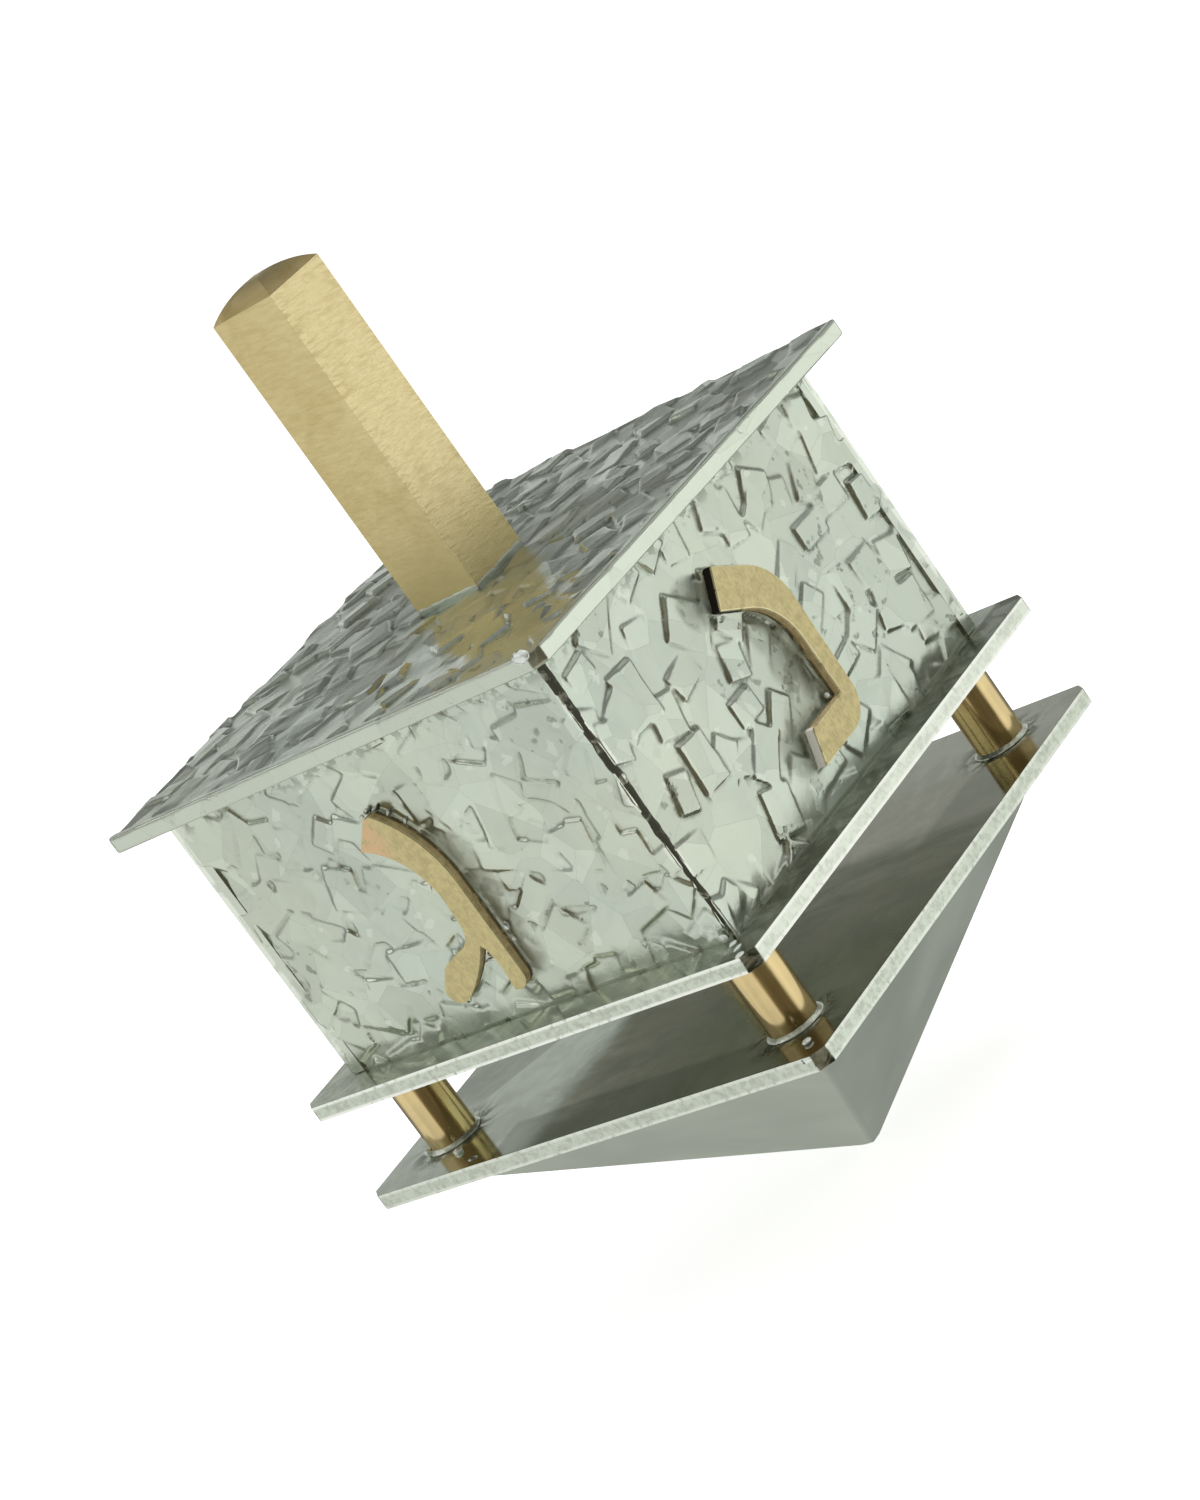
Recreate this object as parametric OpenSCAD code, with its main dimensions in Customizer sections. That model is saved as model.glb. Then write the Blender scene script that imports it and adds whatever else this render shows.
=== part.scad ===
// Dreidel: a square four-sided spinning top built up from metal plates, with a square bar to spin it by.
// It stands upright on its point, and the spin axis is Z.

/* [Roof plate] */
// Side of the square roof plate
roof_side = 46; // [44:0.5:50]
// Thickness of the roof plate
roof_thickness = 1.35; // [1:0.05:2]

/* [Floor plate] */
// Side of the square plate under the box
floor_side = 46; // [44:0.5:50]
// Thickness of the plate under the box
floor_thickness = 1.3; // [1:0.05:2]

/* [Deck plate] */
// Side of the square plate on top of the point
deck_side = 46; // [44:0.5:50]
// Thickness of the plate on top of the point
deck_thickness = 1.3; // [1:0.05:2]

/* [Plate corners] */
// How much of each side is filed off at a plate corner
corner_clip = 0.9; // [0.3:0.1:2]

/* [Box] */
// Width of the box over its walls
box_side = 40; // [38:0.5:42]
// Height of the four walls
wall_height = 23.55; // [21:0.05:28]
// Thickness of each wall, with its raised pattern
wall_thickness = 1.8; // [1.2:0.1:2.4]
// Width of the groove left along each upright corner
corner_groove = 0.5; // [0.2:0.05:0.8]

/* [Letters] */
// Height of the letters
letter_height = 16; // [12:0.5:17]
// Gap between the floor plate and the foot of a letter
letter_lift = 2.9; // [1:0.1:3.5]
// Thickness of the letters
letter_thickness = 0.9; // [0.6:0.1:1.8]

/* [Handle] */
// Width of the square bar
handle_width = 6.35; // [5:0.05:9]
// Length of the bar from the roof plate to the rim of its domed end
handle_length = 25.1; // [16:0.1:34]
// Rise of the domed end above its rim
dome_rise = 1.3; // [0.5:0.1:2.2]
// Diameter of the round tenon that goes through the roof plate
tenon_diameter = 4; // [3:0.1:4.8]
// Length of the tenon below the roof plate, inside the box
tenon_stub = 0.8; // [0.4:0.1:2]

/* [Posts] */
// Diameter of the four round posts
post_diameter = 4; // [3:0.1:5]
// Length of a post between the deck plate and the floor plate
post_length = 7.05; // [4:0.05:12]
// Distance between neighbouring posts, centre to centre
post_spacing = 35; // [30:0.5:36]
// Diameter of the pin at each end of a post
pin_diameter = 2.4; // [1.6:0.1:2.6]

/* [Solder rings] */
// How far the solder spreads out from the foot of a post
solder_spread = 0.6; // [0.3:0.1:1]
// How far the solder climbs up the foot of a post
solder_climb = 0.45; // [0.2:0.05:0.8]

/* [Point] */
// Side of the four-sided point where it meets the deck plate
point_side = 40.8; // [39:0.2:43]
// Height of the point from its tip to the deck plate
point_height = 17.9; // [13:0.1:24]
// Radius of the rounded tip
tip_radius = 1.3; // [0.6:0.1:2.5]

/* [Fits] */
// Gap all round between a pin or tenon and its hole
fit_clearance = 0.03; // [0.01:0.01:0.1]

/* [Hidden] */
$fn = 96;
deck_base = point_height;
deck_top = deck_base + deck_thickness;
floor_base = deck_top + post_length;
floor_top = floor_base + floor_thickness;
roof_base = floor_top + wall_height;
roof_top = roof_base + roof_thickness;
letter_base = floor_top + letter_lift;
post_offset = post_spacing / 2;
overrun = 1;
steps_per_arc = 16;

// Steepness of the point's sides, which run tangent to the rounded tip
tip_run = sqrt(pow(point_side / 2, 2) + pow(point_height - tip_radius, 2));
point_slope = atan2(point_height - tip_radius, point_side / 2) + asin(tip_radius / tip_run);

// Radius of the arc over the domed end of the bar
dome_radius = (pow(handle_width / 2, 2) + pow(dome_rise, 2)) / (2 * dome_rise);

// Letter shapes as shares of the letter height, x from the middle of the wall and y from the foot
nun_end_shares = [[-0.219, 0.828], [-0.106, 1]];
nun_outer_share = 0.299;
nun_outer_centre_shares = [-0.0625, 0.625];
nun_inner_share = 0.32;
nun_inner_centre_shares = [-0.195, 0.45];
nun_heel_share = 0.159;
nun_heel_centre_shares = [0.0656, 0.1625];
nun_foot_shares = [[-0.228, 0], [-0.1625, 0.1625], [0.125, 0.164]];
nun_start_angle = 60;

gimel_end_shares = [[-0.225, 0.825], [-0.1, 0.95]];
gimel_outer_share = 0.5375;
gimel_outer_centre_shares = [-0.39, 0.529];
gimel_inner_share = 0.37;
gimel_inner_centre_shares = [-0.356, 0.472];
gimel_heel_share = 0.0675;
gimel_heel_centre_shares = [0.081, 0.031];
gimel_leg_share = 0.886;
gimel_leg_centre_shares = [-0.66, 0.774];
gimel_toe_share = 0.066;
gimel_toe_centre_shares = [-0.262, 0.06];
gimel_bend_share = 0.125;
gimel_bend_centre_shares = [-0.119, 0.35];
gimel_crotch_shares = [[0.047, -0.031], [0.0625, 0.1], [0.047, 0.1875], [0.031, 0.219]];
gimel_toe_top_shares = [[-0.3125, 0.094], [-0.266, 0.144], [-0.244, 0.172], [-0.203, 0.194]];
gimel_outer_start_angle = 52;
gimel_inner_start_angle = 69;
gimel_leg_from_angle = -38.8;
gimel_leg_to_angle = -60.6;
gimel_toe_from_angle = -60;
gimel_toe_to_angle = -180;
gimel_bend_from_angle = -85;

he_outer_share = 0.24;
he_outer_centre_shares = [-0.04, 0.76];
he_inner_share = 0.125;
he_inner_centre_shares = [-0.056, 0.7125];
he_foot_shares = [[0.2, 0.04], [0.0875, 0], [0.069, 0.05]];
he_roof_end_shares = [[-0.3625, 0.8375], [-0.3125, 1]];
he_leg_outer_share = 0.625;
he_leg_outer_centre_shares = [-0.8, 0.3125];
he_leg_inner_share = 0.55;
he_leg_inner_centre_shares = [-0.85, 0.3125];
he_leg_sweep_angle = 29;

shin_bowl_outer_share = 0.3875;
shin_bowl_inner_share = 0.2625;
shin_right_shares = [[0.3875, 0.3875], [0.4, 0.95], [0.25, 1], [0.2625, 0.3875]];
shin_left_shares = [[-0.3875, 0.3875], [-0.2625, 0.3875], [-0.27, 0.94], [-0.42, 0.99]];
shin_middle_shares = [[-0.26, 0.1], [-0.09, 0.09], [0.08, 0.93], [-0.07, 0.98]];

// Points along an arc, going from one angle to the other
function arc_points(centre, radius, from, to) = [
    for (step = [0 : steps_per_arc])
        let (angle = from + (to - from) * step / steps_per_arc)
        centre + radius * [cos(angle), sin(angle)]
];

module clipped_plate(side, thickness) {
    linear_extrude(thickness)
        intersection() {
            square(side, center = true);
            rotate(45) square((side - corner_clip) * sqrt(2), center = true);
        }
}

module at_posts() {
    for (turn = [0 : 90 : 270])
        rotate(turn) translate([post_offset, post_offset, 0]) children();
}

// Cuts the pin holes of the four posts through a plate that starts at z = 0
module post_holes(thickness) {
    at_posts()
        translate([0, 0, -overrun])
            cylinder(d = pin_diameter + 2 * fit_clearance, h = thickness + 2 * overrun);
}

// The point's outline seen from one side: straight flanks that run into a round tip
module point_outline() {
    tangent = [tip_radius * sin(point_slope), tip_radius * (1 - cos(point_slope))];
    polygon([
        [-point_side / 2, point_height],
        [-tangent.x, tangent.y],
        [tangent.x, tangent.y],
        [point_side / 2, point_height]
    ]);
    translate([0, tip_radius]) circle(tip_radius);
}

module point() {
    color("Gainsboro")
        intersection() {
            rotate([90, 0, 0])
                linear_extrude(point_side + 2 * overrun, center = true) point_outline();
            rotate([90, 0, 90])
                linear_extrude(point_side + 2 * overrun, center = true) point_outline();
        }
}

module deck_plate() {
    color("Silver")
        translate([0, 0, deck_base])
            difference() {
                clipped_plate(deck_side, deck_thickness);
                post_holes(deck_thickness);
            }
}

// A round post with a thinner pin at each end, seated through the plates above and below it
module post(turn) {
    color("DarkGoldenrod")
        rotate(turn) translate([post_offset, post_offset, 0]) {
            translate([0, 0, deck_top]) cylinder(d = post_diameter, h = post_length);
            translate([0, 0, deck_base])
                cylinder(d = pin_diameter, h = floor_top - deck_base);
        }
}

// The fillet of solder round the foot of a post
module solder_ring(turn) {
    inner = post_diameter / 2;
    color("WhiteSmoke")
        rotate(turn) translate([post_offset, post_offset, deck_top])
            rotate_extrude()
                polygon([[inner, 0], [inner + solder_spread, 0], [inner, solder_climb]]);
}

module floor_plate() {
    color("Silver")
        translate([0, 0, floor_base])
            difference() {
                clipped_plate(floor_side, floor_thickness);
                post_holes(floor_thickness);
            }
}

// A wall seen from above: mitred ends that meet the next walls, and a groove left at the outside
module wall_outline() {
    outside = box_side / 2;
    inside = outside - wall_thickness;
    groove = outside - corner_groove;
    polygon([
        [-groove, -outside],
        [groove, -outside],
        [groove, -groove],
        [inside, -inside],
        [-inside, -inside],
        [-groove, -groove]
    ]);
}

module wall(turn) {
    color("LightGray")
        translate([0, 0, floor_top])
            rotate(turn)
                linear_extrude(wall_height) wall_outline();
}

// Stands a flat letter on the outside of the wall that faces the given way
module on_wall(turn) {
    color("Goldenrod")
        rotate(turn)
            translate([0, -box_side / 2, letter_base])
                rotate([90, 0, 0])
                    linear_extrude(letter_thickness)
                        scale(letter_height) children();
}

module nun_shape() {
    polygon(concat(
        nun_end_shares,
        arc_points(nun_outer_centre_shares, nun_outer_share, nun_start_angle, 0),
        arc_points(nun_heel_centre_shares, nun_heel_share, 0, -90),
        nun_foot_shares,
        arc_points(nun_inner_centre_shares, nun_inner_share, 0, nun_start_angle)
    ));
}

module gimel_shape() {
    polygon(concat(
        gimel_end_shares,
        arc_points(gimel_outer_centre_shares, gimel_outer_share, gimel_outer_start_angle, 0),
        arc_points(gimel_heel_centre_shares, gimel_heel_share, 0, -90),
        gimel_crotch_shares,
        arc_points(gimel_leg_centre_shares, gimel_leg_share, gimel_leg_from_angle,
            gimel_leg_to_angle),
        arc_points(gimel_toe_centre_shares, gimel_toe_share, gimel_toe_from_angle,
            gimel_toe_to_angle),
        gimel_toe_top_shares,
        arc_points(gimel_bend_centre_shares, gimel_bend_share, gimel_bend_from_angle, 0),
        arc_points(gimel_inner_centre_shares, gimel_inner_share, 0, gimel_inner_start_angle)
    ));
}

module he_shape() {
    polygon(concat(
        arc_points(he_outer_centre_shares, he_outer_share, 90, 0),
        he_foot_shares,
        arc_points(he_inner_centre_shares, he_inner_share, 0, 90),
        he_roof_end_shares
    ));
}

// The short left stroke of he stands free of the rest
module he_leg_shape() {
    polygon(concat(
        arc_points(he_leg_outer_centre_shares, he_leg_outer_share, he_leg_sweep_angle,
            -he_leg_sweep_angle),
        arc_points(he_leg_inner_centre_shares, he_leg_inner_share, -he_leg_sweep_angle,
            he_leg_sweep_angle)
    ));
}

module shin_shape() {
    bowl_centre = [0, shin_bowl_outer_share];
    polygon(concat(
        arc_points(bowl_centre, shin_bowl_outer_share, 180, 360),
        arc_points(bowl_centre, shin_bowl_inner_share, 360, 180)
    ));
    polygon(shin_right_shares);
    polygon(shin_left_shares);
    polygon(shin_middle_shares);
}

module roof_plate() {
    color("Silver")
        translate([0, 0, roof_base])
            difference() {
                clipped_plate(roof_side, roof_thickness);
                translate([0, 0, -overrun])
                    cylinder(d = tenon_diameter + 2 * fit_clearance, h = roof_thickness + 2 * overrun);
            }
}

// The bar seen from one side, with the arc over its end
module handle_outline() {
    translate([-handle_width / 2, 0]) square([handle_width, handle_length]);
    intersection() {
        translate([0, handle_length + dome_rise - dome_radius]) circle(dome_radius);
        translate([-handle_width / 2, handle_length - overrun])
            square([handle_width, dome_rise + overrun]);
    }
}

module handle() {
    color("Goldenrod")
        translate([0, 0, roof_top]) {
            intersection() {
                rotate([90, 0, 0])
                    linear_extrude(handle_width, center = true) handle_outline();
                rotate([90, 0, 90])
                    linear_extrude(handle_width, center = true) handle_outline();
            }
            translate([0, 0, -roof_thickness - tenon_stub])
                cylinder(d = tenon_diameter, h = roof_thickness + tenon_stub + overrun);
        }
}

point();
deck_plate();
post(0);  // post_1
post(90);  // post_2
post(180);  // post_3
post(270);  // post_4
solder_ring(0);  // solder_ring_1
solder_ring(90);  // solder_ring_2
solder_ring(180);  // solder_ring_3
solder_ring(270);  // solder_ring_4
floor_plate();
wall(0);  // nun_wall
wall(-90);  // gimel_wall
wall(180);  // he_wall
wall(90);  // shin_wall
on_wall(0) nun_shape();  // nun_letter
on_wall(-90) gimel_shape();  // gimel_letter
on_wall(180) he_shape();  // he_letter
on_wall(180) he_leg_shape();  // he_leg
on_wall(90) shin_shape();  // shin_letter
roof_plate();
handle();
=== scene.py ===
import itertools
import math
import random

import bpy
from mathutils import Matrix, Vector


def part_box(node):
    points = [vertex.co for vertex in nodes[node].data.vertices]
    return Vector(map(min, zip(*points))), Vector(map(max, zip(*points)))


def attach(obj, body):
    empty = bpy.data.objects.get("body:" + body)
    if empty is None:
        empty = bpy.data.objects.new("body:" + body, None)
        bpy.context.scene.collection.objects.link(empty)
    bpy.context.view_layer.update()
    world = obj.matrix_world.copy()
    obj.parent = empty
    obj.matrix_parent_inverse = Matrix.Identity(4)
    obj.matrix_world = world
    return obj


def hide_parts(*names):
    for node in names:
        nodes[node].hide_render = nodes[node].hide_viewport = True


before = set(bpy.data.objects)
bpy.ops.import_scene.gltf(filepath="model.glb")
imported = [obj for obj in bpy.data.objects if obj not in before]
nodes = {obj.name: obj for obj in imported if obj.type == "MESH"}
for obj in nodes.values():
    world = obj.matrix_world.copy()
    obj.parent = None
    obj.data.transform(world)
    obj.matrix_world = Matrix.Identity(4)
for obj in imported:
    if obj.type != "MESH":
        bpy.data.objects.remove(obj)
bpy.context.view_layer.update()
mm = 0.001
print("frame loaded,", len(nodes), "CAD nodes")

# What the pieces share, read off the CAD so that it stays true if the part changes
sizes = {
    "wallOut": -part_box("nun_wall")[0].y,          # outside of a wall, from the spin axis
    "wallFoot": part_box("nun_wall")[0].z,
    "wallHead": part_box("nun_wall")[1].z,
    "wallHalf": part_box("nun_wall")[1].x,
    "wallThick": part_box("nun_wall")[1].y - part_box("nun_wall")[0].y,
    "roofHalf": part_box("roof_plate")[1].x,
    "roofHead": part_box("roof_plate")[1].z,
    "deckHead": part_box("deck_plate")[1].z,
    "deckFoot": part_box("deck_plate")[0].z,
    "floorFoot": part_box("floor_plate")[0].z,
    "floorHead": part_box("floor_plate")[1].z,
    "letterOut": -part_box("nun_letter")[0].y,       # outer face of a letter
    "tall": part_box("handle")[1].z,
}


# ---- small tools ----

def deselectAll():
    if bpy.context.mode != "OBJECT":
        bpy.ops.object.mode_set(mode="OBJECT")
    bpy.ops.object.select_all(action="DESELECT")


def pick(obj):
    deselectAll()
    obj.select_set(True)
    bpy.context.view_layer.objects.active = obj


def placeApplied(obj):
    pick(obj)
    bpy.ops.object.transform_apply(location=True, rotation=True, scale=True)


def addBox(name, centre, size):
    deselectAll()
    bpy.ops.mesh.primitive_cube_add(size=1, location=centre, scale=size)
    obj = bpy.context.object
    obj.name = name
    placeApplied(obj)
    return obj


def copyOfNode(node, name):
    # the CAD mesh is loose triangles, so the copy is merged and its flat faces made whole
    mesh = nodes[node].data.copy()
    mesh.materials.clear()
    obj = bpy.data.objects.new(name, mesh)
    bpy.context.scene.collection.objects.link(obj)
    pick(obj)
    bpy.ops.object.mode_set(mode="EDIT")
    bpy.ops.mesh.select_all(action="SELECT")
    bpy.ops.mesh.customdata_custom_splitnormals_clear()
    bpy.ops.mesh.remove_doubles(threshold=1e-6)
    bpy.ops.mesh.dissolve_limited(angle_limit=math.radians(0.5))
    bpy.ops.object.mode_set(mode="OBJECT")
    return obj


def softenEdges(obj, width, segments=2, sharpness=25):
    pick(obj)
    bpy.ops.object.mode_set(mode="EDIT")
    bpy.ops.mesh.select_mode(type="EDGE")
    bpy.ops.mesh.select_all(action="DESELECT")
    bpy.ops.mesh.edges_select_sharp(sharpness=math.radians(sharpness))
    bpy.ops.mesh.bevel(offset=width, segments=segments, profile=0.5, affect="EDGES", clamp_overlap=True)
    bpy.ops.object.mode_set(mode="OBJECT")


def smoothByAngle(obj, degrees=35):
    pick(obj)
    bpy.ops.object.shade_smooth_by_angle(angle=math.radians(degrees))


def weightNormals(obj):
    pick(obj)
    obj.modifiers.new("weighted", "WEIGHTED_NORMAL").keep_sharp = True
    bpy.ops.object.modifier_apply(modifier="weighted")


def joinAll(objects, name):
    deselectAll()
    for obj in objects:
        obj.select_set(True)
    bpy.context.view_layer.objects.active = objects[0]
    if len(objects) > 1:
        bpy.ops.object.join()
    joined = bpy.context.object
    joined.name = name
    placeApplied(joined)
    return joined


def addBall(matrix):
    # a ball of 1 mm radius, laid and stretched by the matrix
    deselectAll()
    bpy.ops.mesh.primitive_uv_sphere_add(segments=20, ring_count=12, radius=1 * mm)
    ball = bpy.context.object
    ball.matrix_world = matrix
    placeApplied(ball)
    return ball


def squeeze(obj, isChosen, value, **about):
    # resizes only the vertices whose place passes the test
    pick(obj)
    for vertex in obj.data.vertices:
        vertex.select = isChosen(vertex.co)
    bpy.ops.object.mode_set(mode="EDIT")
    bpy.ops.mesh.select_mode(type="VERT")
    bpy.ops.transform.resize(value=value, **about)
    bpy.ops.object.mode_set(mode="OBJECT")


def fatten(obj, distance):
    pick(obj)
    bpy.ops.object.mode_set(mode="EDIT")
    bpy.ops.mesh.select_all(action="SELECT")
    bpy.ops.transform.shrink_fatten(value=distance)
    bpy.ops.object.mode_set(mode="OBJECT")


def applyOne(obj, name, kind, **settings):
    modifier = obj.modifiers.new(name, kind)
    for key, value in settings.items():
        setattr(modifier, key, value)
    pick(obj)
    bpy.ops.object.modifier_apply(modifier=name)


def melt(obj, voxel):
    applyOne(obj, "melt", "REMESH", mode="VOXEL", voxel_size=voxel, adaptivity=0, use_smooth_shade=True)


def cloudTexture(name, scale, depth=2):
    texture = bpy.data.textures.new(name, "CLOUDS")
    texture.noise_scale = scale
    texture.noise_depth = depth
    return texture


def lump(obj, texture, strength, middle=0.5):
    # pushes the surface in and out
    applyOne(obj, "lump", "DISPLACE", texture=texture, texture_coords="LOCAL", strength=strength, mid_level=middle)


def calm(obj, rounds, share, degrees=60):
    # smooths the surface, thins its mesh to a share of the faces and shades it
    applyOne(obj, "soften", "SMOOTH", factor=0.5, iterations=rounds)
    applyOne(obj, "thin", "DECIMATE", ratio=share)
    smoothByAngle(obj, degrees)


def dress(obj, material, slot, *standsFor):
    obj.data.materials.clear()
    obj.data.materials.append(material)
    if standsFor:
        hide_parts(*standsFor)
    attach(obj, "root")
    return obj


# ---- shader bench ----

class Wire:
    # one socket; arithmetic on it adds Math nodes
    def __init__(self, bench, socket):
        self.bench = bench
        self.socket = socket

    def maths(self, operation, *others):
        values = dict(enumerate((self,) + others))
        return self.bench.add("Math", {"operation": operation}, values)

    def __add__(self, other):
        return self.maths("ADD", other)

    def __radd__(self, other):
        return self.maths("ADD", other)

    def __sub__(self, other):
        return self.maths("SUBTRACT", other)

    def __rsub__(self, other):
        return self.bench.add("Math", {"operation": "SUBTRACT"}, {0: other, 1: self})

    def __mul__(self, other):
        return self.maths("MULTIPLY", other)

    def __truediv__(self, other):
        return self.maths("DIVIDE", other)

    def above(self, level):
        return self.maths("GREATER_THAN", level)

    def size(self):
        return self.maths("ABSOLUTE")

    def held(self, low=0.0, high=1.0):
        return self.bench.add("Clamp", {}, {0: self, 1: low, 2: high})

    def ramp(self, low, high, toLow=0.0, toHigh=1.0):
        # a smooth step from one level to another
        kind = {"interpolation_type": "SMOOTHSTEP"}
        return self.bench.add("MapRange", kind, {0: self, 1: low, 2: high, 3: toLow, 4: toHigh})


class Bench:
    def __init__(self, tree):
        self.tree = tree

    def add(self, kind, settings, values, output=0):
        node = self.tree.nodes.new("ShaderNode" + kind)
        for key, value in settings.items():
            setattr(node, key, value)
        for key, value in values.items():
            if isinstance(value, Wire):
                self.tree.links.new(value.socket, node.inputs[key])
            else:
                node.inputs[key].default_value = value
        return Wire(self, node.outputs[output])

    def place(self):
        return self.add("TexCoord", {}, {}, output=3)

    def scaled(self, vector, x, y, z):
        return self.add("VectorMath", {"operation": "MULTIPLY"}, {0: vector, 1: (x, y, z)})

    def parts(self, vector):
        node = self.add("SeparateXYZ", {}, {0: vector}).socket.node
        return [Wire(self, node.outputs[i]) for i in range(3)]

    def noise(self, vector, scale, detail=3.0, rough=0.5, distort=0.0):
        return self.add("TexNoise", {}, {"Vector": vector, "Scale": scale, "Detail": detail,
                                         "Roughness": rough, "Distortion": distort})

    def blend(self, factor, one, two):
        return self.add("Mix", {"data_type": "RGBA"}, {0: factor, 6: one, 7: two}, output=2)

    def bump(self, height, strength, distance, **more):
        return self.add("Bump", {}, {"Height": height, "Strength": strength, "Distance": distance, **more})

    def facets(self, place, scale, slope):
        # flat patches, each tilted its own way: a bumped normal and two random values per patch
        cell = self.add("TexVoronoi", {}, {"Vector": place, "Scale": scale}, output=1)
        centre = Wire(self, cell.socket.node.outputs[2])
        away = self.add("VectorMath", {"operation": "SUBTRACT"}, {0: place, 1: centre})
        lean = self.add("VectorMath", {"operation": "SUBTRACT"}, {0: cell, 1: (0.5, 0.5, 0.5)})
        height = self.add("VectorMath", {"operation": "DOT_PRODUCT"}, {0: away, 1: lean}, output=1)
        chance = self.parts(cell)
        return self.bump(height * slope / mm, 1.0, 1 * mm), chance[0], chance[1]


def newMaterial(name, fixed, build):
    # fixed holds the shader's constant values; build returns the sockets that vary
    material = bpy.data.materials.new(name)
    material.use_nodes = True
    tree = material.node_tree
    shader = tree.nodes["Principled BSDF"]
    for key, value in fixed.items():
        shader.inputs[key].default_value = value
    bench = Bench(tree)
    for key, wire in build(bench).items():
        tree.links.new(wire.socket, shader.inputs[key])
    return material


def rgba(colour, gain=1.0):
    return (colour[0] * gain, colour[1] * gain, colour[2] * gain, 1.0)


black = rgba((0, 0, 0))


# ---- materials ----
# a noise is given as its scale, detail, roughness and distortion, and a bump as its strength and distance

plateLook = {
    "colour": (0.67, 0.71, 0.61), "edge": (0.74, 0.78, 0.69), "stain": (0.19, 0.20, 0.15),
    "deck": (0.70, 0.685, 0.575), "deckPaintedLight": (0.93, 0.99, 0.90), "deckRightPaintedLight": (0.74, 0.78, 0.69),
    "arris": (1.0, 1.0, 0.96), "nunRimPaintedLight": (1.0, 1.0, 0.94),
    "roughness": 0.08, "smudge": 0.12, "edgeRoughness": 0.32, "leftEdgeShade": 0.16, "post": 17.5 * mm,
    "clouds": (90, 4, 0.6, 0.6), "wipes": (260, 5, 0.65, 0.3), "filed": (1600, 3, 0.7),
    "grains": (1900, 3, 0.7), "streaks": (420, 4, 0.65, 1.2), "bump": (0.25, 0.06 * mm),
}


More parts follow.
